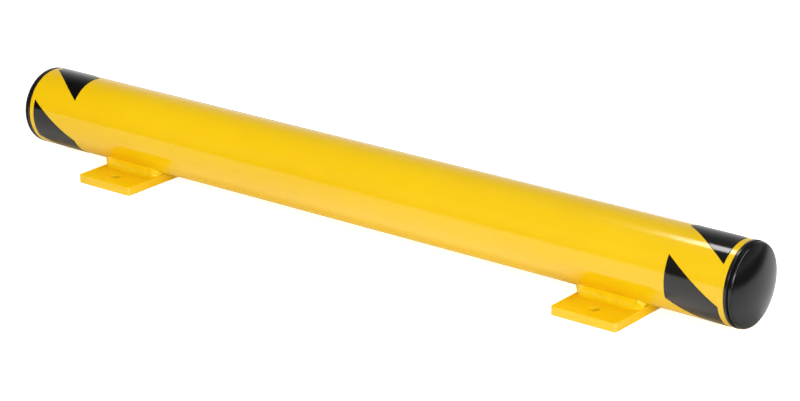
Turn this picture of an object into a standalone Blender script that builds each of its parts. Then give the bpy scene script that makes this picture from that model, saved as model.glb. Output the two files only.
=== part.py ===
"""Horizontal steel safety bollard: a capped pipe welded along two floor plates.

Metres, +Z up. X runs along the pipe, -Y is the front, and the origin lies on the
floor under the middle of the pipe.
"""

import math

import bmesh
import bpy
from mathutils import Matrix

# Gap between pieces that touch on the real object
FIT_GAP = 0.0003

# Pipe
PIPE_LENGTH = 1.2192
PIPE_DIAMETER = 0.1143
PIPE_WALL = 0.0048

# Floor plates: width runs along the pipe, depth across it
PLATE_WIDTH = 0.1016
PLATE_DEPTH = 0.184
PLATE_THICKNESS = 0.0127
PLATE_CORNER_RADIUS = 0.0035
PLATE_EDGE_RADIUS = 0.0009
HOLE_DIAMETER = 0.0143
HOLE_EDGE_DISTANCE = 0.0254

# Weld beads between the pipe and the plates
WELD_HEIGHT = 0.012
WELD_FOOT = 0.001
WELD_HOLLOW = 0.0026
WELD_ROOT_HEIGHT = 0.0012
WELD_END_INSET = 0.0006
WELD_END_LENGTH = 0.006
WELD_END_SHARE = 0.74
WELD_RIPPLE_PITCH = 0.0085
WELD_RIPPLE_DEPTH = 0.0007

# Domed end caps, pushed into the pipe
CAP_OVERHANG = 0.0003
CAP_FLANGE_THICKNESS = 0.0041
CAP_FLANGE_EDGE = 0.0009
CAP_GROOVE_WIDTH = 0.0025
CAP_GROOVE_DEPTH = 0.0036
CAP_RIM_HEIGHT = 0.0005
CAP_RIM_RADIUS = 0.0035
CAP_CROWN_SLOPE = math.radians(20)
CAP_WALL = 0.003
CAP_SKIRT_LENGTH = 0.03
CAP_FIN_COUNT = 3
CAP_FIN_HEIGHT = 0.002
CAP_FIN_TIP_SHARE = 0.16
CAP_FIN_RAMP_SHARE = 0.6

# Slanted hazard stripes stuck round each end; turns are degrees up from the front
STRIPE_SPAN = math.radians(60)
STRIPE_WIDTH = 0.078
STRIPE_MARGIN = 0.0086
STRIPE_DROP = 0.0523
STRIPE_THICKNESS = 0.0003
STRIPE_TO_PLATE = 0.0475
LEFT_STRIPE_TURNS = (-5.0, 120.0, 237.5)
RIGHT_STRIPE_TURNS = (6.7, 123.8, 245.5)

# Facets
PIPE_STEPS = 72
CAP_STEPS = 48
CROWN_STEPS = 5
RIM_STEPS = 3
CORNER_STEPS = 4
EDGE_STEPS = 2
HOLE_STEPS = 24
WELD_FACE_STEPS = 4
WELD_ARC_STEPS = 4
STRIPE_LONG_STEPS = 6
STRIPE_ROUND_STEPS = 12
SMOOTH_ANGLE = math.radians(35)
MERGE_DISTANCE = 1e-6

# Sizes that follow from the ones above
PIPE_RADIUS = PIPE_DIAMETER / 2
BORE_RADIUS = PIPE_RADIUS - PIPE_WALL
PIPE_AXIS_HEIGHT = PLATE_THICKNESS + FIT_GAP + PIPE_RADIUS
STRIPE_INNER_EDGE = STRIPE_MARGIN + STRIPE_WIDTH
PLATE_CENTRE = PIPE_LENGTH / 2 - STRIPE_INNER_EDGE - STRIPE_TO_PLATE - PLATE_WIDTH / 2
HOLE_OFFSET = PLATE_DEPTH / 2 - HOLE_EDGE_DISTANCE

# Linear colours and surface roughness
SAFETY_YELLOW = (0.93, 0.56, 0.008, 1.0)
VINYL_BLACK = (0.008, 0.008, 0.008, 1.0)
RUBBER_BLACK = (0.02, 0.021, 0.023, 1.0)
PIPE_ROUGHNESS = 0.22
PLATE_ROUGHNESS = 0.28
WELD_ROUGHNESS = 0.34
VINYL_ROUGHNESS = 0.2
RUBBER_ROUGHNESS = 0.4


def clear_scene():
    for old in list(bpy.data.objects):
        bpy.data.objects.remove(old)


def finish(name, colour, roughness, metallic=0.0):
    """A plain Principled material."""
    material = bpy.data.materials.new(name)
    material.use_nodes = True
    shader = material.node_tree.nodes["Principled BSDF"]
    shader.inputs["Base Color"].default_value = colour
    shader.inputs["Roughness"].default_value = roughness
    shader.inputs["Metallic"].default_value = metallic
    return material


def mesh_from(shape, name, material):
    """Turns a bmesh into a smooth-shaded mesh with crisp edges kept."""
    bmesh.ops.recalc_face_normals(shape, faces=shape.faces)
    mesh = bpy.data.meshes.new(name)
    shape.to_mesh(mesh)
    shape.free()
    mesh.shade_smooth()
    mesh.set_sharp_from_angle(angle=SMOOTH_ANGLE)
    mesh.materials.append(material)
    return mesh


def place(name, mesh, parent, location=(0, 0, 0), turn=(0, 0, 0)):
    piece = bpy.data.objects.new(name, mesh)
    bpy.context.scene.collection.objects.link(piece)
    piece.parent = parent
    piece.location = location
    piece.rotation_euler = turn
    return piece


def turned_mesh(name, profile, steps, material):
    """Spins a closed profile of (along, radius) points about the X axis."""
    shape = bmesh.new()
    points = [shape.verts.new((along, 0, radius)) for along, radius in profile]
    loop = [shape.edges.new((a, b)) for a, b in zip(points, points[1:] + points[:1])]
    bmesh.ops.spin(
        shape, geom=points + loop, cent=(0, 0, 0), axis=(1, 0, 0),
        angle=math.tau, steps=steps, use_merge=True,
    )
    bmesh.ops.remove_doubles(shape, verts=shape.verts, dist=MERGE_DISTANCE)
    bmesh.ops.dissolve_degenerate(shape, edges=shape.edges, dist=MERGE_DISTANCE)
    on_axis_edges = [edge for edge in shape.edges if not edge.link_faces]
    bmesh.ops.delete(shape, geom=on_axis_edges, context="EDGES")
    return mesh_from(shape, name, material)


def arc(centre, radius, start, end, steps):
    """Points along an arc in the (along, radius) plane; angle 0 points outward."""
    angles = [start + (end - start) * i / steps for i in range(steps + 1)]
    return [
        (centre[0] + radius * math.sin(angle), centre[1] + radius * math.cos(angle))
        for angle in angles
    ]


def pipe_mesh(material):
    half = PIPE_LENGTH / 2
    wall = [(-half, PIPE_RADIUS), (half, PIPE_RADIUS), (half, BORE_RADIUS), (-half, BORE_RADIUS)]
    return turned_mesh("pipe", wall, PIPE_STEPS, material)


def base_plate_mesh(material):
    """Flat bar with rounded corners and softened edges, standing on the floor."""
    shape = bmesh.new()
    size = Matrix.Diagonal((PLATE_WIDTH, PLATE_DEPTH, PLATE_THICKNESS, 1))
    bmesh.ops.create_cube(shape, size=1, matrix=Matrix.Translation((0, 0, PLATE_THICKNESS / 2)) @ size)
    upright = [e for e in shape.edges if abs(e.verts[0].co.z - e.verts[1].co.z) > PLATE_THICKNESS / 2]
    bmesh.ops.bevel(
        shape, geom=upright, offset=PLATE_CORNER_RADIUS, segments=CORNER_STEPS,
        profile=0.5, affect="EDGES",
    )
    level = [e for e in shape.edges if abs(e.verts[0].co.z - e.verts[1].co.z) < PLATE_THICKNESS / 2]
    bmesh.ops.bevel(
        shape, geom=level, offset=PLATE_EDGE_RADIUS, segments=EDGE_STEPS,
        profile=0.5, affect="EDGES",
    )
    return mesh_from(shape, "base_plate", material)


def anchor_hole_cutter_mesh(material):
    """One drill for the front anchor hole and one for the rear."""
    shape = bmesh.new()
    for side in (-1, 1):
        bmesh.ops.create_cone(
            shape, cap_ends=True, segments=HOLE_STEPS, depth=2 * PLATE_THICKNESS,
            radius1=HOLE_DIAMETER / 2, radius2=HOLE_DIAMETER / 2,
            matrix=Matrix.Translation((0, side * HOLE_OFFSET, PLATE_THICKNESS / 2)),
        )
    return mesh_from(shape, "anchor_hole_cutter", material)


def angle_on_pipe(height):
    """Angle from straight down to the point of the pipe at this height over the plate."""
    return math.acos((PIPE_RADIUS + FIT_GAP - height) / (PIPE_RADIUS + FIT_GAP))


def weld_section(growth):
    """Outline of the front bead as (y, z) points. Growth swells or shrinks the bead about its root."""
    reach = PIPE_RADIUS + FIT_GAP
    floor = PLATE_THICKNESS + FIT_GAP
    root_angle = angle_on_pipe(WELD_ROOT_HEIGHT)
    toe_angle = angle_on_pipe(WELD_ROOT_HEIGHT + (WELD_HEIGHT - WELD_ROOT_HEIGHT) * growth)
    pipe_toe = (-reach * math.sin(toe_angle), PIPE_AXIS_HEIGHT - reach * math.cos(toe_angle))
    root = -reach * math.sin(root_angle)
    plate_toe = (root + (pipe_toe[0] - WELD_FOOT - root) * growth, floor)
    pull = ((plate_toe[0] + pipe_toe[0]) / 2 + 2 * WELD_HOLLOW * growth, (floor + pipe_toe[1]) / 2)
    face = []
    for i in range(WELD_FACE_STEPS + 1):
        t = i / WELD_FACE_STEPS
        face.append(tuple(
            (1 - t) ** 2 * a + 2 * t * (1 - t) * b + t ** 2 * c
            for a, b, c in zip(plate_toe, pull, pipe_toe)
        ))
    along_pipe = []
    for i in range(1, WELD_ARC_STEPS + 1):
        angle = toe_angle + (root_angle - toe_angle) * i / WELD_ARC_STEPS
        along_pipe.append((-reach * math.sin(angle), PIPE_AXIS_HEIGHT - reach * math.cos(angle)))
    return [(root, floor), *face, *along_pipe]


def weld_growth(along, length):
    """Stacked ripples along the bead, with its two ends drawn in round."""
    ripples = max(1, round(length / WELD_RIPPLE_PITCH))
    wave = abs(math.sin(math.pi * ripples * along / length))
    ripple = 1 - WELD_RIPPLE_DEPTH / WELD_HEIGHT * (1 - wave)
    from_end = min(along, length - along) / WELD_END_LENGTH
    taper = math.sqrt(1 - (1 - min(from_end, 1)) ** 2)
    return ripple * (WELD_END_SHARE + (1 - WELD_END_SHARE) * taper)


def weld_mesh(material):
    """Lofts the bead's outline along the plate."""
    length = PLATE_WIDTH - 2 * WELD_END_INSET
    stations = 2 * max(1, round(length / WELD_RIPPLE_PITCH))
    shape = bmesh.new()
    rings = []
    for i in range(stations + 1):
        along = length * i / stations
        outline = weld_section(weld_growth(along, length))
        rings.append([shape.verts.new((along - length / 2, y, z)) for y, z in outline])
    for near, far in zip(rings, rings[1:]):
        for i in range(len(near)):
            shape.faces.new((near[i - 1], near[i], far[i], far[i - 1]))
    shape.faces.new(rings[0])
    shape.faces.new(rings[-1])
    return mesh_from(shape, "weld_bead", material)


def cap_dome():
    """Outside of the dome from its apex to the groove, and the centre and radius of its crown."""
    outer = PIPE_RADIUS + CAP_OVERHANG
    rim_foot = CAP_FLANGE_THICKNESS + CAP_GROOVE_WIDTH
    rim_centre = (rim_foot + CAP_RIM_HEIGHT, outer - CAP_RIM_RADIUS)
    rim_angle = math.pi / 2 - CAP_CROWN_SLOPE
    rim = arc(rim_centre, CAP_RIM_RADIUS, rim_angle, 0, RIM_STEPS)
    crown_radius = rim[0][1] / math.sin(CAP_CROWN_SLOPE)
    crown_centre = rim[0][0] - crown_radius * math.cos(CAP_CROWN_SLOPE)
    crown = arc((crown_centre, 0), crown_radius, math.pi / 2, rim_angle, CROWN_STEPS)
    return [*crown[:-1], *rim, (rim_foot, outer)], crown_centre, crown_radius


def cap_fins(skirt_radius, fin_radius):
    """Barbed rings down the skirt, from the flange to its free end."""
    pitch = CAP_SKIRT_LENGTH / (CAP_FIN_COUNT + 1)
    barbs = []
    for i in range(CAP_FIN_COUNT):
        top = -pitch * (i + 1)
        barbs += [
            (top, skirt_radius),
            (top, fin_radius),
            (top - CAP_FIN_TIP_SHARE * pitch, fin_radius),
            (top - CAP_FIN_RAMP_SHARE * pitch, skirt_radius),
        ]
    return barbs


def end_cap_mesh(material):
    """Hollow moulded plug: dome, groove, flange that seats on the pipe end, and barbed skirt."""
    outer = PIPE_RADIUS + CAP_OVERHANG
    fin_radius = BORE_RADIUS - FIT_GAP
    skirt_radius = fin_radius - CAP_FIN_HEIGHT
    hollow_radius = skirt_radius - CAP_WALL
    dome, crown_centre, crown_radius = cap_dome()
    groove = [
        (CAP_FLANGE_THICKNESS + CAP_GROOVE_WIDTH, outer - CAP_GROOVE_DEPTH),
        (CAP_FLANGE_THICKNESS, outer - CAP_GROOVE_DEPTH),
    ]
    flange = [
        (CAP_FLANGE_THICKNESS, outer - CAP_FLANGE_EDGE),
        (CAP_FLANGE_THICKNESS - CAP_FLANGE_EDGE, outer),
        (0, outer),
        (0, skirt_radius),
    ]
    skirt_end = [(-CAP_SKIRT_LENGTH, skirt_radius), (-CAP_SKIRT_LENGTH, hollow_radius)]
    ceiling_radius = crown_radius - CAP_WALL
    ceiling_angle = math.acos(hollow_radius / ceiling_radius)
    ceiling = arc((crown_centre, 0), ceiling_radius, ceiling_angle, math.pi / 2, CROWN_STEPS)
    profile = [*dome, *groove, *flange, *cap_fins(skirt_radius, fin_radius), *skirt_end, *ceiling]
    return turned_mesh("end_cap", profile, CAP_STEPS, material)


def stripe_mesh(material):
    """One slanted stripe wrapped on the pipe, starting at x = 0 with its middle at the front."""
    radius = PIPE_RADIUS + FIT_GAP
    drop = STRIPE_DROP / PIPE_RADIUS
    shape = bmesh.new()
    rows = []
    for i in range(STRIPE_LONG_STEPS + 1):
        share = i / STRIPE_LONG_STEPS
        middle = -drop * share
        angles = [
            middle + STRIPE_SPAN * (j / STRIPE_ROUND_STEPS - 0.5)
            for j in range(STRIPE_ROUND_STEPS + 1)
        ]
        rows.append([
            shape.verts.new((STRIPE_WIDTH * share, -radius * math.cos(a), radius * math.sin(a)))
            for a in angles
        ])
    for near, far in zip(rows, rows[1:]):
        for j in range(STRIPE_ROUND_STEPS):
            shape.faces.new((near[j], far[j], far[j + 1], near[j + 1]))
    return mesh_from(shape, "hazard_stripe", material)


def add_stripes(side, start, turns, mesh, parent):
    """Sets the stripes round one end, each a thin layer standing out from the pipe."""
    for number, turn in enumerate(turns, 1):
        stripe = place(
            f"{side}_hazard_stripe_{number}", mesh, parent,
            (start, 0, PIPE_AXIS_HEIGHT), (-math.radians(turn), 0, 0),
        )
        layer = stripe.modifiers.new("vinyl", "SOLIDIFY")
        layer.thickness = STRIPE_THICKNESS
        layer.offset = 1


def add_base_plate(side, centre, mesh, cutter_mesh, parent):
    plate = place(f"{side}_base_plate", mesh, parent, (centre, 0, 0))
    cutter = place(f"{side}_anchor_hole_cutter", cutter_mesh, parent, (centre, 0, 0))
    cutter.hide_render = True
    cutter.display_type = "WIRE"
    holes = plate.modifiers.new("anchor_holes", "BOOLEAN")
    holes.operation = "DIFFERENCE"
    holes.object = cutter


def main():
    clear_scene()
    paint = finish("yellow_pipe_coat", SAFETY_YELLOW, PIPE_ROUGHNESS)
    plate_paint = finish("yellow_plate_coat", SAFETY_YELLOW, PLATE_ROUGHNESS)
    weld_paint = finish("yellow_weld_coat", SAFETY_YELLOW, WELD_ROUGHNESS)
    rubber = finish("black_moulded_rubber", RUBBER_BLACK, RUBBER_ROUGHNESS)
    vinyl = finish("black_vinyl", VINYL_BLACK, VINYL_ROUGHNESS)
    bollard = place("bollard", None, None)

    place("pipe", pipe_mesh(paint), bollard, (0, 0, PIPE_AXIS_HEIGHT))
    plate = base_plate_mesh(plate_paint)
    cutter = anchor_hole_cutter_mesh(plate_paint)
    weld = weld_mesh(weld_paint)
    cap = end_cap_mesh(rubber)
    stripe = stripe_mesh(vinyl)
    cap_seat = PIPE_LENGTH / 2 + FIT_GAP
    for side, sign in (("left", -1), ("right", 1)):
        facing = 0 if sign > 0 else math.pi
        add_base_plate(side, sign * PLATE_CENTRE, plate, cutter, bollard)
        place(f"{side}_front_weld", weld, bollard, (sign * PLATE_CENTRE, 0, 0))
        place(f"{side}_rear_weld", weld, bollard, (sign * PLATE_CENTRE, 0, 0), (0, 0, math.pi))
        place(f"{side}_end_cap", cap, bollard, (sign * cap_seat, 0, PIPE_AXIS_HEIGHT), (0, 0, facing))
    add_stripes("left", -PIPE_LENGTH / 2 + STRIPE_MARGIN, LEFT_STRIPE_TURNS, stripe, bollard)
    add_stripes("right", PIPE_LENGTH / 2 - STRIPE_INNER_EDGE, RIGHT_STRIPE_TURNS, stripe, bollard)


main()
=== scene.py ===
import math
import random

import bmesh
import bpy
from mathutils import Matrix, Vector, noise


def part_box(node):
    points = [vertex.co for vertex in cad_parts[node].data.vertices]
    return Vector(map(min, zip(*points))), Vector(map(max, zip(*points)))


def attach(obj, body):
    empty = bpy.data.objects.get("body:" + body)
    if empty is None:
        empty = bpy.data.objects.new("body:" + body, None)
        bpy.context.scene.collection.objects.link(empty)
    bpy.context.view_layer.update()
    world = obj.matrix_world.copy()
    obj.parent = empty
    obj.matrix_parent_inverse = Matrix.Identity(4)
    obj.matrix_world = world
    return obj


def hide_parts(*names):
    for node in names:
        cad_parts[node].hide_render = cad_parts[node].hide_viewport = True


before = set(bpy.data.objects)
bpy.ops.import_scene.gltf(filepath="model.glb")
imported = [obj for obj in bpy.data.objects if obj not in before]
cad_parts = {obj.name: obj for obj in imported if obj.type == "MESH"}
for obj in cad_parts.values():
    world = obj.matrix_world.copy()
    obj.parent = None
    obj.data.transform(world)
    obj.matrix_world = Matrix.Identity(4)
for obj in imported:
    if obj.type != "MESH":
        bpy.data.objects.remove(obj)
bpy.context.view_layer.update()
print("frame loaded with", len(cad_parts), "nodes")

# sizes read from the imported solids
pipeLow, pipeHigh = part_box("pipe")
pipeRadius = (pipeHigh.y - pipeLow.y) / 2
pipeEnd = pipeHigh.x
axisHeight = (pipeLow.z + pipeHigh.z) / 2
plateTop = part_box("left_base_plate")[1].z
plateLow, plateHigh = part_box("right_base_plate")
plateMiddle = (plateLow.x + plateHigh.x) / 2
plateHalf = (plateHigh.x - plateLow.x) / 2


# shader maths

def plug(value, socket):  # links a wire to a socket, or sets a plain value on it
    if isinstance(value, Wire):
        value.tree.links.new(value.socket, socket)
    else:
        socket.default_value = value


class Wire:  # one socket of a node tree; arithmetic on it adds Math nodes
    def __init__(self, tree, socket=None):
        self.tree = tree
        self.socket = socket

    def node(self, kind, settings, sockets, out=0):
        made = self.tree.nodes.new("ShaderNode" + kind)
        for key, value in settings.items():
            if key == "stops":
                self.setStops(made.color_ramp, value)
            else:
                setattr(made, key, value)
        for key, value in sockets.items():
            plug(value, made.inputs[key])
        return Wire(self.tree, made.outputs[out])

    def setStops(self, ramp, stops):
        while len(ramp.elements) < len(stops):
            ramp.elements.new(1.0)
        for element, (place, grey) in zip(ramp.elements, stops):
            element.position = place
            element.color = (grey, grey, grey, 1)

    def combine(self, operation, first, second):
        return self.node("Math", {"operation": operation}, {0: first, 1: second})

    def maths(self, operation, other=0.0):
        return self.combine(operation, self, other)

    def __add__(self, other):
        return self.maths("ADD", other)

    __radd__ = __add__

    def __sub__(self, other):
        return self.maths("SUBTRACT", other)

    def __rsub__(self, other):
        return self.combine("SUBTRACT", other, self)

    def __mul__(self, other):
        return self.maths("MULTIPLY", other)

    __rmul__ = __mul__

    def __pow__(self, other):
        return self.maths("POWER", other)

    def __rpow__(self, other):
        return self.combine("POWER", other, self)

    def below(self, edge):
        return self.maths("LESS_THAN", edge)

    def above(self, edge):
        return self.maths("GREATER_THAN", edge)

    def asShare(self):  # from -1 to 1 becomes from 0 to 1
        return self * 0.5 + 0.5

    def ramp(self, *stops):
        return self.node("ValToRGB", {"stops": stops}, {"Fac": self})

    def fade(self, start, end, full=1.0):  # 0 up to the start, rising to full at the end
        return self.ramp((start, 0.0), (end, full))

    def part(self, axis):
        return self.node("SeparateXYZ", {}, {"Vector": self}, axis)

    def mixColours(self, first, second):  # self is the share of the second colour
        settings = {"data_type": "RGBA", "clamp_factor": True}
        return self.node("Mix", settings, {0: self, 6: first, 7: second}, 2)


def startMaterial(name):
    material = bpy.data.materials.new(name)
    material.use_nodes = True
    shader = material.node_tree.nodes["Principled BSDF"]
    place = Wire(material.node_tree).node("TexCoord", {}, {}, "Object")
    return material, shader, place


def grain(place, scale, detail, stretch=(1, 1, 1)):  # noise at a scale per metre
    spread = place.node("Mapping", {}, {"Vector": place, "Scale": stretch})
    return place.node("TexNoise", {}, {"Vector": spread, "Scale": scale, "Detail": detail})


def finishMaterial(shader, looks):
    for key, value in looks.items():
        plug(value, shader.inputs[key])


# powder coat on the steel, shared by pipe, plates and beads

coatLook = {
    "bright": (0.985, 0.640, 0.0042, 1),
    "deep": (0.955, 0.604, 0.0036, 1),
    "cloudScale": 7.0,
    "cloudFade": (0.35, 0.68),
    "cloudRough": 0.05,
    "peelScale": 520.0,  # orange peel
    "peelRise": 0.6,
    "peelRough": 0.03,
    "peelPerSwell": 9,
    "swellRise": 0.9,
    "nib": (0.62, 0.33, 0.01, 1),  # specks caught in the coat
    "nibScale": 62.0,
    "nibSize": 0.055,
    "nibRise": 0.7,
    "nibDarkness": 0.55,
    "patchScale": 23.0,  # the nibs stand in patches
    "patchStart": 0.62,
    "patchFade": 0.02,
    "bumpStrength": 0.35,
    "specular": 0.45,
    "ior": 1.5,
}


def makeCoat(name, look, shade=None):
    material, shader, place = startMaterial(name)
    cloud = grain(place, coatLook["cloudScale"], detail=3.0)
    peel = grain(place, coatLook["peelScale"], detail=1.0)
    swell = grain(place, coatLook["peelScale"] / coatLook["peelPerSwell"], detail=2.0)
    cells = {"Vector": place, "Scale": coatLook["nibScale"], "Randomness": 1.0}
    nibDistance = place.node("TexVoronoi", {}, cells, "Distance")
    patchStart = coatLook["patchStart"] - look["nibShare"]
    patch = grain(place, coatLook["patchScale"], detail=0.0)
    chosen = patch.fade(patchStart, patchStart + coatLook["patchFade"])
    nib = nibDistance.below(coatLook["nibSize"]) * chosen
    paint = cloud.fade(*coatLook["cloudFade"]).mixColours(coatLook["deep"], coatLook["bright"])
    colour = (nib * coatLook["nibDarkness"]).mixColours(paint, coatLook["nib"])
    if shade:
        colour = shade(place, colour)
    uneven = (cloud - 0.5) * coatLook["cloudRough"] + (peel - 0.5) * coatLook["peelRough"]
    height = peel * coatLook["peelRise"] + swell * coatLook["swellRise"] + nib * coatLook["nibRise"]
    bump = {"Strength": coatLook["bumpStrength"], "Distance": look["peelDepth"], "Height": height}
    finishMaterial(shader, {
        "Base Color": colour,
        "Roughness": look["roughness"] + uneven,
        "Normal": place.node("Bump", {}, bump),
        "Specular IOR Level": coatLook["specular"],
        "IOR": coatLook["ior"],
    })
    return material


# shared mesh helpers

def addObject(shape, name):
    mesh = bpy.data.meshes.new(name)
    shape.to_mesh(mesh)
    shape.free()
    made = bpy.data.objects.new(name, mesh)
    bpy.context.scene.collection.objects.link(made)
    return made


def addPiece(shape, name, material, node, sharpAngle=40):
    bmesh.ops.recalc_face_normals(shape, faces=shape.faces)
    piece = addObject(shape, name)
    piece.data.shade_smooth()
    piece.data.set_sharp_from_angle(angle=math.radians(sharpAngle))
    piece.data.materials.append(material)
    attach(piece, "root")
    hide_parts(node)
    return piece


def arcPoints(centre, radius, start, end, steps):  # angle 0 points away from the axis
    turn = [start + (end - start) * i / steps for i in range(steps + 1)]
    return [(centre[0] + radius * math.sin(a), centre[1] + radius * math.cos(a)) for a in turn]


def latheRing(shape, along, radius, steps):
    if radius < 1e-6:  # on the axis a ring is one point
        return [shape.verts.new((along, 0, axisHeight))]
    turn = [math.tau * i / steps for i in range(steps)]
    around = [(radius * math.cos(a), axisHeight + radius * math.sin(a)) for a in turn]
    return [shape.verts.new((along, y, z)) for y, z in around]


def latheShape(profile, steps):  # closed outline of (along, radius) turned about the pipe's axis
    shape = bmesh.new()
    rings = [latheRing(shape, along, radius, steps) for along, radius in profile]
    for near, far in zip(rings, rings[1:] + rings[:1]):
        if len(near) == 1 and len(far) == 1:
            continue
        for i in range(steps):
            k = (i + 1) % steps
            corners = [near[i % len(near)], near[k % len(near)], far[k % len(far)], far[i % len(far)]]
            shape.faces.new(list(dict.fromkeys(corners)))
    return shape


# pipe

pipeLook = {
    "steps": 160,
    "rings": 40,
    "wall": 0.0048,
    "edge": 0.0006,
    "roughness": 0.115,
    "peelDepth": 0.00012,
    "nibShare": 0.03,
}


def makePipe():
    edge = pipeLook["edge"]
    bore = pipeRadius - pipeLook["wall"]
    spread = [2 * i / pipeLook["rings"] - 1 for i in range(pipeLook["rings"] + 1)]
    outside = [((pipeEnd - edge) * s, pipeRadius) for s in spread]
    inside = [((pipeEnd - edge) * s, bore) for s in reversed(spread)]
    outline = [
        (-pipeEnd, pipeRadius - edge), *outside, (pipeEnd, pipeRadius - edge),
        (pipeEnd, bore + edge), *inside, (-pipeEnd, bore + edge),
    ]
    pipeCoat = makeCoat("yellowPipeCoat", pipeLook)
    addPiece(latheShape(outline, pipeLook["steps"]), "steelPipe", pipeCoat, "pipe")


makePipe()
print("pipe made")


# base plates

plateLook = {
    "corner": 0.0035,
    "cornerSteps": 6,
    "edge": 0.0018,
    "edgeSteps": 4,
    "edgeAngle": 50,  # turns sharper than this are rounded
    "hole": 0.00715,
    "holeSteps": 48,
    "holeFromEdge": 0.0254,
    "holeLip": 0.0007,
    "holeFade": 0.0062,  # depth over which the painted light and shade change inside a hole
    # painted light on the hole walls, then painted shade deep down
    "holeLight": (0.99, 0.71, 0.012, 1),
    "holeLightFade": (0.05, 0.2),
    "holeLightShare": 0.9,
    "holeShade": (0.62, 0.37, 0.004, 1),
    "holeShadeFade": (0.55, 1.0),
    "holeShadeShare": 0.1,
    # painted highlight on the upright corners
    "cornerHighlight": (0.985, 0.78, 0.24, 1),
    "cornerHighlightReach": 0.0033,
    "cornerHighlightFade": (0.0, 0.5),
    "cornerHighlightShare": 0.4,
    "roughness": 0.15,
    "peelDepth": 0.00025,
    "nibShare": 0.06,
}


def plateShade(place, colour):  # painted light and shade in the holes, painted highlight on the corners
    x, y, z = (place.part(axis) for axis in "XYZ")
    fromX = x.maths("ABSOLUTE") - plateMiddle
    fromY = y.maths("ABSOLUTE") - (plateHigh.y - plateLook["holeFromEdge"])
    inside = (fromX ** 2 + fromY ** 2).below((plateLook["hole"] + plateLook["holeLip"]) ** 2)
    depth = (plateTop - z) * (1 / plateLook["holeFade"])
    # painted light: the hole walls are painted lighter
    holeLight = inside * depth.fade(*plateLook["holeLightFade"], plateLook["holeLightShare"])
    # painted shade: deeper down the hole walls are painted darker
    holeShade = inside * depth.fade(*plateLook["holeShadeFade"], plateLook["holeShadeShare"])
    walls = holeShade.mixColours(holeLight.mixColours(colour, plateLook["holeLight"]), plateLook["holeShade"])
    # painted highlight: a paler strip down the upright corners
    corner = fromX.maths("ABSOLUTE") + fromY - (plateHalf + plateLook["holeFromEdge"])
    cornerNearness = (corner + plateLook["cornerHighlightReach"]) * (1 / plateLook["cornerHighlightReach"])
    cornerHighlight = cornerNearness.fade(*plateLook["cornerHighlightFade"], plateLook["cornerHighlightShare"])
    return cornerHighlight.mixColours(walls, plateLook["cornerHighlight"])


def makeDrill(middle, reaches, depth):
    drill = bmesh.new()
    for reach in reaches:
        bmesh.ops.create_cone(drill, cap_ends=True, segments=plateLook["holeSteps"], depth=depth,
                              radius1=plateLook["hole"], radius2=plateLook["hole"],
                              matrix=Matrix.Translation((middle.x, reach, middle.z)))
    return addObject(drill, "drill")


def makePlate(side, material):
    low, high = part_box(side + "_base_plate")
    size, middle = high - low, (high + low) / 2
    shape = bmesh.new()
    where = Matrix.Translation(middle) @ Matrix.Diagonal((*size, 1))
    bmesh.ops.create_cube(shape, size=1, matrix=where)
    upright = [e for e in shape.edges if abs(e.verts[0].co.z - e.verts[1].co.z) > size.z / 2]
    bmesh.ops.bevel(shape, geom=upright, offset=plateLook["corner"], segments=plateLook["cornerSteps"],
                    profile=0.5, affect="EDGES")
    piece = addPiece(shape, side + "FloorPlate", material, side + "_base_plate")
    reaches = (low.y + plateLook["holeFromEdge"], high.y - plateLook["holeFromEdge"])
    drill = makeDrill(middle, reaches, depth=3 * size.z)  # well past both faces
    cut = piece.modifiers.new("anchorHoles", "BOOLEAN")
    cut.object = drill
    soften = piece.modifiers.new("softEdges", "BEVEL")
    soften.width = plateLook["edge"]
    soften.segments = plateLook["edgeSteps"]
    soften.limit_method = "ANGLE"
    soften.angle_limit = math.radians(plateLook["edgeAngle"])
    soften.harden_normals = True
    shown = piece.evaluated_get(bpy.context.evaluated_depsgraph_get())
    solid = bpy.data.meshes.new_from_object(shown)
    piece.modifiers.clear()
    piece.data = solid
    bpy.data.objects.remove(drill)


plateCoat = makeCoat("yellowPlateCoat", plateLook, plateShade)
for side in ("left", "right"):
    makePlate(side, plateCoat)
print("plates made")


# weld beads

weldLook = {
    "foot": 0.045,  # how far the toe on the plate stands from the pipe's middle plane
    "climb": 0.0132,
    "footPull": (-0.0086, 0.0),  # the face leaves the plate level
    "topPull": (-0.0006, -0.0084),  # and meets the pipe upright
    "bury": 0.0001,
    "rootHeight": 0.002,
    "stations": 190,
    "faceSteps": 18,
    "sharpAngle": 60,
    "endLength": 0.0095,
    "footEndLength": 0.024,
    "endFoot": 0.03,
    "endClimb": 0.0078,
    "endFlare": 0.0042,
    "startInset": 0.0065,  # the end where a bead starts leans in towards the plate
    "endLump": 0.0012,
    "endLumpAt": 0.6,  # in end lengths
    "endLumpPinch": 3,
    "wander": 0.0007,
    "wanderScale": 70,
    "wanderRow": 3.7,  # rows set apart the noise of each bead
    "pitch": 0.0085,
    "pitchWander": 0.35,
    "pitchScale": 40,
    "pitchRow": 2.3,
    "rippleDepth": 0.00012,
    "rippleBow": 0.8,
    "lumpDepth": 0.0003,
    "lumpScale": 110,
    "lumpStretch": 1.3,
    "lumpRow": 5.1,
    "pushLift": 0.4,  # share of what stands out of the face that goes up
    "spatter": 10,
    "endSpatter": 6,  # drops of these that lie near the ends
    "spatterInset": (0.004, 0.003),
    "spatterMiddle": (0.3, 0.7),
    "spatterLevel": (-0.7, 0.7),
    "endDrop": (0.6, 1.0),
    "middleDrop": (0.3, 0.5),
    "spatterSize": 0.0021,
    "spatterSlope": 1.1,
    # painted light: a brighter yellow for the beads
    "beadLight": (0.985, 0.70, 0.004, 1),
    "beadLightScale": 42.0,
    "beadLightStops": ((0.2, 0.75), (0.6, 1.0)),
    "roughness": 0.13,
    "peelDepth": 0.00012,
    "nibShare": 0.0,
}


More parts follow.
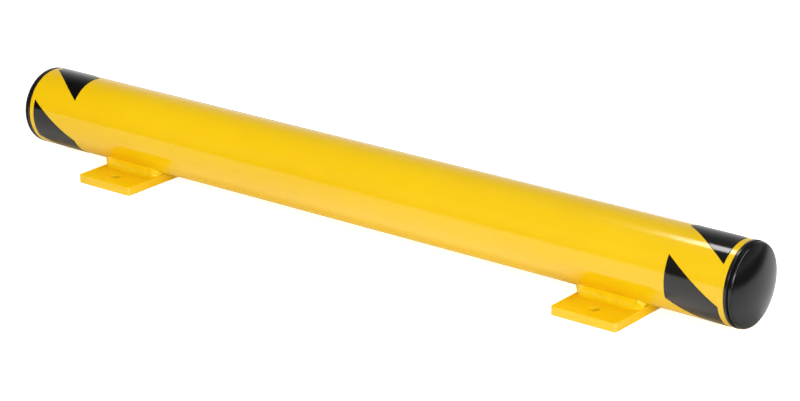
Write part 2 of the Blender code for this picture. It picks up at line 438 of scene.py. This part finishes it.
def weldShade(place, colour):  # painted light: the beads are painted a brighter yellow, varied at random
    beadNoise = grain(place, weldLook["beadLightScale"], detail=2.0)
    return beadNoise.ramp(*weldLook["beadLightStops"]).mixColours(colour, weldLook["beadLight"])


def roundOff(share):  # a quarter circle from 0 at the bead's end to 1
    return math.sqrt(1 - (1 - min(share, 1)) ** 2)


def stray(x, y, z):
    return noise.noise(Vector((x, y, z)))


def weldDrops(length, seed):  # spatter as (place along the bead, level on its face, size)
    draw = random.Random(seed)
    drops = []
    for i in range(weldLook["spatter"]):
        atEnd = i < weldLook["endSpatter"]
        inset = abs(draw.gauss(*weldLook["spatterInset"]))
        spot = length - inset if i % 2 else inset
        if not atEnd:
            spot = length * draw.uniform(*weldLook["spatterMiddle"])
        level = draw.uniform(*weldLook["spatterLevel"])
        size = draw.uniform(*weldLook["endDrop" if atEnd else "middleDrop"])
        drops.append((spot, level, size * weldLook["spatterSize"]))
    return drops


def weldPush(along, across, drops, seed):  # how far ripples, lumps and spatter stand out of the face
    taper = 1 - across ** 4
    drift = weldLook["pitchWander"] * stray(along * weldLook["pitchScale"], weldLook["pitchRow"], seed)
    phase = along / weldLook["pitch"] + weldLook["rippleBow"] * across ** 2 + drift
    ripple = weldLook["rippleDepth"] * math.sin(math.tau * phase)
    row = seed * weldLook["lumpRow"]
    lump = stray(along * weldLook["lumpScale"], across * weldLook["lumpStretch"], row)
    push = (ripple + weldLook["lumpDepth"] * lump) * taper
    for spot, level, size in drops:
        gap = math.hypot(along - spot, (across - level) * weldLook["climb"] / 2)
        push += weldLook["spatterSlope"] * size * math.exp(-(gap / size) ** 2)
    return push


def weldFace(closing, footClosing, drift, swell):  # the face from the plate to the pipe, as (y, z)
    reach = pipeRadius - weldLook["bury"]
    climb = weldLook["endClimb"] + (weldLook["climb"] + drift - weldLook["endClimb"]) * closing
    toeAngle = math.acos((pipeRadius - climb) / pipeRadius)
    foot = weldLook["endFoot"] + (weldLook["foot"] + drift - weldLook["endFoot"]) * footClosing
    plateToe = Vector((foot, plateTop - weldLook["bury"]))
    pipeToe = Vector((reach * math.sin(toeAngle), axisHeight - reach * math.cos(toeAngle)))
    firstPull = plateToe + Vector(weldLook["footPull"]) * footClosing + Vector((swell, swell))
    lastPull = pipeToe + Vector(weldLook["topPull"]) * closing + Vector((swell, 0))
    points = []
    for i in range(weldLook["faceSteps"] + 1):
        t = i / weldLook["faceSteps"]
        start = (1 - t) ** 3 * plateToe + 3 * t * (1 - t) ** 2 * firstPull
        points.append(start + 3 * t ** 2 * (1 - t) * lastPull + t ** 3 * pipeToe)
    return points


def makeWeld(name, node, seed, material):
    low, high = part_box(node)
    side = -1 if low.y < 0 else 1
    length = high.x - low.x
    root = side * min(abs(low.y), abs(high.y))
    drops = weldDrops(length, seed)
    row = seed * weldLook["wanderRow"]
    shape = bmesh.new()
    rings = []
    for i in range(weldLook["stations"] + 1):
        along = length * (1 - math.cos(math.pi * i / weldLook["stations"])) / 2
        inset = min(along, length - along)
        fromEnd = inset / weldLook["endLength"]
        atStart = along < length / 2
        outward = -1 if atStart else 1
        closing = roundOff(fromEnd)
        footClosing = roundOff(inset / weldLook["footEndLength"])
        drift = weldLook["wander"] * stray(along * weldLook["wanderScale"], row, 0)
        fromLump = fromEnd - weldLook["endLumpAt"]
        swell = weldLook["endLump"] * math.exp(-weldLook["endLumpPinch"] * fromLump ** 2)
        face = weldFace(closing, footClosing, drift, swell)
        ring = [shape.verts.new((low.x + along, root, plateTop - weldLook["bury"]))]
        for j, point in enumerate(face):
            share = j / weldLook["faceSteps"]
            push = weldPush(along, 2 * share - 1, drops, seed)
            lowShare = (1 - share) ** 2
            inwards = weldLook["startInset"] * lowShare if atStart else 0
            flare = weldLook["endFlare"] * (1 - lowShare) - inwards
            station = low.x + along + outward * flare * (1 - closing)
            height = point.y + weldLook["pushLift"] * push
            ring.append(shape.verts.new((station, side * (point.x + push), height)))
        rootTop = min(face[-1].y, plateTop + weldLook["rootHeight"])
        ring.append(shape.verts.new((low.x + along, root, rootTop)))
        rings.append(ring)
    for near, far in zip(rings, rings[1:]):
        for j in range(len(near)):
            shape.faces.new((near[j - 1], near[j], far[j], far[j - 1]))
    shape.faces.new(rings[0])
    shape.faces.new(rings[-1])
    addPiece(shape, name, material, node, weldLook["sharpAngle"])


weldCoat = makeCoat("yellowWeldCoat", weldLook, weldShade)
beads = [(side, face) for side in ("left", "right") for face in ("front", "rear")]
for number, (side, face) in enumerate(beads, 1):
    makeWeld(side + face.capitalize() + "Bead", side + "_" + face + "_weld", number, weldCoat)
print("weld beads made")


# end caps

capLook = {
    "steps": 128,
    "overhang": 0.0003,
    "flange": 0.0041,
    "flangeRound": 0.0009,
    "flangeSteps": 4,
    "seatSteps": 3,
    "groove": 0.0025,
    "grooveDepth": 0.0036,
    "rimDrop": 0.0005,
    "lip": 0.0006,
    "lipTurn": 25,
    "lipSteps": 5,
    "shoulder": 0.0035,
    "shoulderDrop": 0.0006,
    "shoulderTurn": 6,
    "shoulderSteps": 12,
    "crownSlope": 20,
    "crownSteps": 18,
    "wall": 0.003,
    "ceilingSteps": 10,
    "skirt": 0.03,
    "fins": 3,
    "finHeight": 0.002,
    "finFlat": 0.16,  # in pitches of the fins
    "finTail": 0.6,
    "seatGap": 0.0003,
    "black": (0.0034, 0.0036, 0.0041, 1),
    "bloom": (0.0084, 0.0089, 0.0101, 1),
    "bloomScale": 28.0,
    "bloomFade": (0.4, 0.72),
    # painted shade in the groove between flange and rim
    "grooveShade": (0.0006, 0.0006, 0.0006, 1),
    "grooveSpill": (0.0003, 0.0001),  # how far the painted shade reaches past the groove's two sides
    "grooveRough": 0.5,
    "roughness": 0.18,
    "handlingScale": 75.0,
    "handlingStretch": (1.0, 0.35, 1.0),
    "handlingRough": 0.1,
    "pebbleScale": 1500.0,
    "pebbleDepth": 0.00012,
    "pebbleRough": 0.06,
    "bumpStrength": 0.3,
    "ior": 1.48,
}


def makeCapRubber():
    material, shader, place = startMaterial("mouldedCapBlack")
    pastFlange = place.part("X").maths("ABSOLUTE") - (pipeEnd + capLook["seatGap"] + capLook["flange"])
    nearSpill, farSpill = capLook["grooveSpill"]
    # painted shade: the groove between flange and rim is painted near black
    groove = pastFlange.above(-nearSpill) * pastFlange.below(capLook["groove"] + farSpill)
    bloom = grain(place, capLook["bloomScale"], detail=4.0).fade(*capLook["bloomFade"])
    pebble = grain(place, capLook["pebbleScale"], detail=2.0)
    handling = grain(place, capLook["handlingScale"], detail=3.0, stretch=capLook["handlingStretch"])
    face = bloom.mixColours(capLook["black"], capLook["bloom"])
    uneven = (handling - 0.5) * capLook["handlingRough"] + (pebble - 0.5) * capLook["pebbleRough"]
    bump = {"Strength": capLook["bumpStrength"], "Distance": capLook["pebbleDepth"], "Height": pebble}
    finishMaterial(shader, {
        "Base Color": groove.mixColours(face, capLook["grooveShade"]),
        "Roughness": capLook["roughness"] + uneven + groove * capLook["grooveRough"],
        "Normal": place.node("Bump", {}, bump),
        "IOR": capLook["ior"],
    })
    return material


def capOutline():  # from the middle of the face, over the rim and along the skirt, into the hollow
    outer = pipeRadius + capLook["overhang"]
    finRadius = pipeRadius - pipeLook["wall"] - capLook["seatGap"]
    skirtRadius = finRadius - capLook["finHeight"]
    hollow = skirtRadius - capLook["wall"]
    flange = capLook["flange"]
    rimFoot = flange + capLook["groove"]
    rimRadius = outer - capLook["rimDrop"]
    lip = capLook["lip"]
    lipTurn = math.radians(capLook["lipTurn"])
    lipArc = arcPoints((rimFoot + lip, rimRadius - lip), lip, lipTurn, -math.pi / 2, capLook["lipSteps"])
    shoulder = capLook["shoulder"]
    shoulderMiddle = (rimFoot + 2 * lip, rimRadius - capLook["shoulderDrop"] - shoulder)
    slope = math.radians(capLook["crownSlope"])
    shoulderTurn = math.radians(capLook["shoulderTurn"])
    shoulderArc = arcPoints(shoulderMiddle, shoulder, math.pi / 2 - slope, shoulderTurn,
                            capLook["shoulderSteps"])
    edgeAlong, edgeRadius = shoulderArc[0]
    crownRadius = edgeRadius / math.sin(slope)
    crownMiddle = (edgeAlong - crownRadius * math.cos(slope), 0)
    crown = arcPoints(crownMiddle, crownRadius, math.pi / 2, math.pi / 2 - slope, capLook["crownSteps"])
    soft = capLook["flangeRound"]
    grooveRadius = outer - capLook["grooveDepth"]
    groove = [
        (rimFoot, grooveRadius + soft), (rimFoot - soft / 2, grooveRadius),
        (flange + soft / 2, grooveRadius), (flange, grooveRadius + soft),
    ]
    flangeTop = arcPoints((flange - soft, outer - soft), soft, math.pi / 2, 0, capLook["flangeSteps"])
    seat = arcPoints((soft / 2, outer - soft / 2), soft / 2, 0, -math.pi / 2, capLook["seatSteps"])
    pitch = capLook["skirt"] / (capLook["fins"] + 1)
    fins = []
    for i in range(capLook["fins"]):
        start = -pitch * (i + 1)
        flatEnd, tailEnd = start - capLook["finFlat"] * pitch, start - capLook["finTail"] * pitch
        fins += [(start, skirtRadius), (start, finRadius), (flatEnd, finRadius), (tailEnd, skirtRadius)]
    ceiling = crownRadius - capLook["wall"]
    inside = arcPoints(crownMiddle, ceiling, math.acos(hollow / ceiling), math.pi / 2,
                       capLook["ceilingSteps"])
    return [
        *crown[:-1], *shoulderArc, *lipArc, *groove, *flangeTop, *seat, (0, skirtRadius), *fins,
        (-capLook["skirt"], skirtRadius), (-capLook["skirt"], hollow), *inside,
    ]


def makeCap(side, sign, material):
    seat = pipeEnd + capLook["seatGap"]
    outline = [(sign * (seat + along), radius) for along, radius in capOutline()]
    shape = latheShape(outline, capLook["steps"])
    addPiece(shape, side + "DomedCap", material, side + "_end_cap")


capBlack = makeCapRubber()
makeCap("left", -1, capBlack)
makeCap("right", 1, capBlack)
print("caps made")


# hazard stripes

stripeLook = {
    "width": 0.078,
    "margin": 0.0086,
    "drop": 0.0523,
    "span": 60,
    "lift": 0.00045,
    "edgeLift": 0.72,  # share of the lift that is left along the edges
    "bed": 0.00004,
    "edge": 0.0004,
    "longSteps": 26,
    "roundSteps": 40,
    "sharpAngle": 50,
    "leftTurns": (-5.0, 120.0, 237.5),
    "rightTurns": (6.7, 123.8, 245.5),
    "black": (0.0024, 0.0020, 0.0014, 1),
    "dusty": (0.006, 0.0055, 0.005, 1),
    "dustFade": (0.5, 0.75),
    "roughness": 0.08,
    "scuffScale": 90.0,
    "scuffStretch": (0.12, 3.0, 3.0),
    "scuffRough": 0.06,
    "scuffRise": 0.15,
    "rippleScale": 55.0,
    "rippleDepth": 0.00012,
    "bumpStrength": 0.3,
    "ior": 1.5,
}


def makeVinyl():
    material, shader, place = startMaterial("blackVinyl")
    dust = grain(place, stripeLook["scuffScale"], detail=4.0).fade(*stripeLook["dustFade"])
    scuff = grain(place, stripeLook["scuffScale"], detail=3.0, stretch=stripeLook["scuffStretch"])
    ripple = grain(place, stripeLook["rippleScale"], detail=1.0)
    height = ripple + scuff * stripeLook["scuffRise"]
    bump = {"Strength": stripeLook["bumpStrength"], "Distance": stripeLook["rippleDepth"], "Height": height}
    finishMaterial(shader, {
        "Base Color": dust.mixColours(stripeLook["black"], stripeLook["dusty"]),
        "Roughness": stripeLook["roughness"] + scuff * stripeLook["scuffRough"],
        "Normal": place.node("Bump", {}, bump),
        "IOR": stripeLook["ior"],
    })
    return material


def gridShares(steps, edge):  # from 0 to 1, with a narrow first and last step for the edges
    middles = [(i + 0.5) / steps for i in range(steps)]
    return [0.0, edge, *middles, 1 - edge, 1.0]


def makeStripe(name, node, start, turn, material):
    width = stripeLook["width"]
    span = math.radians(stripeLook["span"])
    across = gridShares(stripeLook["longSteps"], stripeLook["edge"] / width)
    edgeShare = stripeLook["edge"] / pipeRadius / span
    around = [span * (share - 0.5) for share in gridShares(stripeLook["roundSteps"], edgeShare)]
    shape = bmesh.new()

    def put(share, angle, lift):
        turned = math.radians(turn) + angle - stripeLook["drop"] / pipeRadius * share
        radius = pipeRadius + lift
        return shape.verts.new((start + width * share, -radius * math.cos(turned),
                                axisHeight + radius * math.sin(turned)))

    lastRow, lastColumn = len(across) - 1, len(around) - 1
    top, bed = [], []
    for i, share in enumerate(across):
        atEdge = [i in (0, lastRow) or j in (0, lastColumn) for j in range(len(around))]
        lifts = [stripeLook["lift"] * (stripeLook["edgeLift"] if edge else 1.0) for edge in atEdge]
        top.append([put(share, a, lift) for a, lift in zip(around, lifts)])
        bed.append([put(share, a, stripeLook["bed"]) for a in around])
    for i in range(lastRow):
        for j in range(lastColumn):
            shape.faces.new((top[i][j], top[i][j + 1], top[i + 1][j + 1], top[i + 1][j]))
            shape.faces.new((bed[i][j], bed[i + 1][j], bed[i + 1][j + 1], bed[i][j + 1]))
    for i in range(lastRow):
        for j in (0, lastColumn):
            shape.faces.new((top[i][j], top[i + 1][j], bed[i + 1][j], bed[i][j]))
    for j in range(lastColumn):
        for i in (0, lastRow):
            shape.faces.new((top[i][j], top[i][j + 1], bed[i][j + 1], bed[i][j]))
    addPiece(shape, name, material, node, stripeLook["sharpAngle"])


vinylBlack = makeVinyl()
stripeStarts = {
    "left": -pipeEnd + stripeLook["margin"],
    "right": pipeEnd - stripeLook["margin"] - stripeLook["width"],
}
for side, start in stripeStarts.items():
    for number, turn in enumerate(stripeLook[side + "Turns"], 1):
        makeStripe(f"{side}Stripe{number}", f"{side}_hazard_stripe_{number}", start, turn, vinylBlack)
print("stripes made")


# studio floor

floorLook = {
    "size": 60.0,
    "drop": 0.0004,
    "colour": (0.85, 0.85, 0.85, 1),
    "roughness": 0.9,
    "white": 0.8,  # extra light that the eye sees on the paper
    "sheen": 0.83,  # extra light that glossy surfaces see on it
    "bounce": 0.06,  # and the light that it sends up to the paint
    "underBounce": 0.32,
    "nearSpan": 0.1,  # the distance that a share of 1 stands for in the next three
    "pipeShade": ((0.33, 0.0), (0.46, 0.2), (0.55, 0.52), (0.66, 0.95), (0.8, 1.0)),
    "endFade": (0.1, 0.6),
    "plateFade": (0.04, 0.3),
    "plateFrontSpan": 0.025,
    "leftFall": ((0.2, 0.32), (0.36, 0.56), (0.5, 0.95), (0.6, 1.0)),
    "rightFall": ((0.77, 1.0), (0.82, 0.36)),
    "aheadSpan": 0.2,
    "aheadFade": (0.5, 1.0),
}


def makeFloor():
    shape = bmesh.new()
    bmesh.ops.create_grid(shape, x_segments=2, y_segments=2, size=floorLook["size"] / 2)
    floor = addObject(shape, "studioFloor")
    floor.location.z = -floorLook["drop"]
    material, shader, place = startMaterial("palePaper")
    rays = [place.node("LightPath", {}, {}, f"Is {kind} Ray") for kind in ("Camera", "Glossy", "Diffuse")]
    seen, mirrored, bounced = rays
    x, y = place.part("X"), place.part("Y")
    alongPipe, fromPipe = x.maths("ABSOLUTE"), y.maths("ABSOLUTE")
    near = 1 / floorLook["nearSpan"]
    beside = (fromPipe * near).ramp(*floorLook["pipeShade"])  # painted shadow on the paper's glow under the pipe
    beyond = ((alongPipe - pipeEnd) * near).fade(*floorLook["endFade"])
    sideGap = ((alongPipe - plateMiddle).maths("ABSOLUTE") - plateHalf) * near
    frontGap = (fromPipe - plateHigh.y) * (1 / floorLook["plateFrontSpan"])
    clear = sideGap.maths("MAXIMUM", frontGap).fade(*floorLook["plateFade"])  # painted shadow close to the plates as well
    lit = beside.maths("MAXIMUM", beyond) * clear
    ahead = (y * (-1 / floorLook["aheadSpan"])).fade(*floorLook["aheadFade"])
    # painted light: the glow dims towards the left end and past the right end, but not ahead of the pipe
    leftFall = x.asShare().ramp(*floorLook["leftFall"])
    rightFall = x.asShare().ramp(*floorLook["rightFall"]).maths("MAXIMUM", ahead)
    glow = mirrored * floorLook["sheen"] + bounced * floorLook["bounce"]
    # painted light: under the pipe the paper glows up at the paint
    under = bounced * (1 - lit) * clear * floorLook["underBounce"]
    finishMaterial(shader, {
        "Base Color": floorLook["colour"],
        "Roughness": floorLook["roughness"],
        "Specular IOR Level": 0.0,
        "Emission Color": seen * floorLook["white"] + glow * lit * leftFall * rightFall + under,
        "Emission Strength": 1.0,
    })
    floor.data.materials.append(material)


# dark card beyond the right end, seen only in reflections

flagLook = {
    "low": (0.88, -0.6),
    "high": (2.2, 1.8),
    "lift": 0.001,
    "colour": (0.02, 0.02, 0.02, 1),
    "roughness": 0.95,
}


def makeFlag():
    (lowX, lowY), (highX, highY) = flagLook["low"], flagLook["high"]
    shape = bmesh.new()
    corners = ((lowX, lowY), (highX, lowY), (highX, highY), (lowX, highY))
    shape.faces.new([shape.verts.new((x, y, flagLook["lift"])) for x, y in corners])
    flag = addObject(shape, "darkFlag")
    material, shader = startMaterial("darkFlagCloth")[:2]
    finishMaterial(shader, {
        "Base Color": flagLook["colour"],
        "Roughness": flagLook["roughness"],
        "Specular IOR Level": 0.0,
    })
    flag.data.materials.append(material)
    flag.visible_camera = False
    flag.visible_diffuse = False
    flag.visible_shadow = False


# room around it, as mirrored in the gloss

roomLook = {
    "ambient": 0.212,
    "walls": 0.4,
    "wallFall": ((0.155, 0.1), (0.185, 0.22), (0.203, 0.36), (0.26, 0.6), (0.32, 0.5), (0.4, 0.2)),
    "glow": 1.0,  # bright sweep behind the pipe
    "glowRise": ((0.0, 1.0), (0.12, 0.95), (0.36, 0.59), (0.48, 0.39), (0.61, 0.16), (0.72, 0.0)),
    "glowBack": (0.0, 0.3),
    "glowFall": ((0.155, 1.0), (0.185, 0.87), (0.2, 0.76), (0.26, 0.6), (0.55, 0.6), (0.85, 0.1)),
}


def makeRoom():
    world = bpy.data.worlds.new("studioRoom")
    bpy.context.scene.world = world
    world.use_nodes = True
    wire = Wire(world.node_tree)
    glossy = wire.node("LightPath", {}, {}, "Is Glossy Ray")
    heading = wire.node("TexCoord", {}, {}, "Generated")
    x, y, z = (heading.part(axis) for axis in "XYZ")
    walls = x.asShare().ramp(*roomLook["wallFall"]) * roomLook["walls"]
    behind = y.fade(*roomLook["glowBack"]) * x.asShare().ramp(*roomLook["glowFall"])
    mirrored = walls + z.ramp(*roomLook["glowRise"]) * behind * roomLook["glow"]
    background = world.node_tree.nodes["Background"]
    plug((1, 1, 1, 1), background.inputs["Color"])
    plug(roomLook["ambient"] + glossy * (mirrored - roomLook["ambient"]), background.inputs["Strength"])


# soft boxes; each may be kept out of the gloss or out of the plain light

boxLooks = {
    "topBox": {
        "size": (0.68, 0.59), "power": 14.9, "at": (-0.44, 0.325, 2.4), "aim": (-0.44, 0.325, 0.0),
        "hidden": "diffuse",
    },
    "roofBox": {
        "size": (1.8, 0.8), "power": 21.5, "at": (-0.2, 0.05, 2.4), "aim": (-0.1, 0.0, 0.0),
        "hidden": "glossy",
    },
    "fillBox": {
        "size": (1.4, 1.2), "power": 20.0, "at": (-1.6, -2.2, 1.2), "aim": (0.0, 0.0, 0.04),
        "hidden": "glossy", "tint": (1.0, 0.88, 0.7),  # a little warm
    },
    "keyBox": {"size": (1.6, 1.2), "power": 86.5, "at": (3.5, -2.1, 1.4), "aim": (0.1, 0.0, 0.05)},
    "lowBox": {
        "size": (2.4, 0.5), "power": 7.2, "at": (0.3, -3.0, 0.3), "aim": (0.0, 0.0, 0.04),
        "hidden": "glossy",
    },
    "rearBox": {
        "size": (2.4, 0.5), "power": 24.0, "at": (-0.3, 3.0, 0.3), "aim": (0.0, 0.0, 0.04),
        "hidden": "glossy",
    },
    "rimBox": {
        "size": (2.5, 0.5), "power": 30.0, "at": (2.2, -0.1, 2.0), "aim": (0.63, -0.85, 0.1),
        "hidden": "diffuse",
    },
}


def makeBox(name, look):
    light = bpy.data.lights.new(name, "AREA")
    light.shape = "RECTANGLE"
    light.size, light.size_y = look["size"]
    light.energy = look["power"]
    light.color = look.get("tint", (1, 1, 1))
    box = bpy.data.objects.new(name, light)
    bpy.context.scene.collection.objects.link(box)
    box.location = look["at"]
    aim = Vector(look["aim"]) - Vector(look["at"])
    box.rotation_mode = "QUATERNION"
    box.rotation_quaternion = aim.to_track_quat("-Z", "Y")
    box.visible_diffuse = look.get("hidden") != "diffuse"
    box.visible_glossy = look.get("hidden") != "glossy"


makeFloor()
makeFlag()
makeRoom()
for name, look in boxLooks.items():
    makeBox(name, look)
print("studio made")


# camera at the photo's angle

view = {
    "at": (2.1816, -2.6790, 1.3060),
    "yaw": -38.43,
    "pitch": 20.01,
    "roll": 0.564,
    "lens": 118.93,
    "sensor": 36,
}


def makeCamera():
    yaw, pitch, roll = (math.radians(view[key]) for key in ("yaw", "pitch", "roll"))
    forward = Vector((math.sin(yaw) * math.cos(pitch), math.cos(yaw) * math.cos(pitch), -math.sin(pitch)))
    level = Vector((math.cos(yaw), -math.sin(yaw), 0))
    down = forward.cross(level)
    right = math.cos(roll) * level + math.sin(roll) * down
    lower = math.cos(roll) * down - math.sin(roll) * level
    data = bpy.data.cameras.new("photoCamera")
    data.lens = view["lens"]
    data.sensor_width = view["sensor"]
    camera = bpy.data.objects.new("photoCamera", data)
    bpy.context.scene.collection.objects.link(camera)
    turn = Matrix((right, -lower, -forward)).transposed().to_4x4()
    camera.matrix_world = Matrix.Translation(view["at"]) @ turn
    bpy.context.scene.camera = camera


makeCamera()
bpy.context.scene.view_settings.view_transform = "Standard"
print("camera set")
